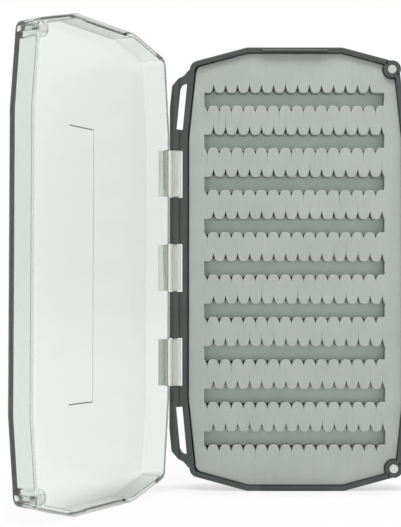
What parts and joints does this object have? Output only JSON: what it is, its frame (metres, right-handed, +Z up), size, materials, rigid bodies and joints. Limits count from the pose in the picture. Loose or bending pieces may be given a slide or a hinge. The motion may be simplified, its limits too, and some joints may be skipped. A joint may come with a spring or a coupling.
{
  "type": "fly box",
  "caption": "Slim fishing-fly case: moulded tray with a slit-foam insert, clear lid on a pinned side hinge, corner magnets that hold it shut.",
  "frame": {"origin": "middle of the tray's lower end face, which the box stands on", "axes": "+X away from the hinge across the tray, +Y from the tray's open side towards its back, +Z up along the box's length"},
  "size_m": [0.1574, 0.0975, 0.1888],
  "materials": {
    "tray": "satin",
    "foam": "matte",
    "backing": "matte",
    "adhesive": "matte",
    "steel": "satin",
    "magnet": "satin",
    "lid": "gloss",
    "clip": "gloss"
  },
  "bodies": {
    "tray": {"base_tray": "tray", "slit_foam": "foam", "foam_backing": "backing", "foam_adhesive": "adhesive", "hinge_pin": "steel", "base_magnet_upper": "magnet", "base_magnet_lower": "magnet"},
    "lid": {"lid_shell": "lid", "hinge_clip_upper": "clip", "hinge_clip_middle": "clip", "hinge_clip_lower": "clip", "lid_magnet_upper": "magnet", "lid_magnet_lower": "magnet"}
  },
  "joints": [
    {"name": "lid_hinge", "type": "hinge", "parent": "tray", "child": "lid", "pos_m": [-0.0512, -0.0045, 0.0944], "axis": [0, 0, 1], "range_deg": [-60.6, 119.4]}
  ]
}
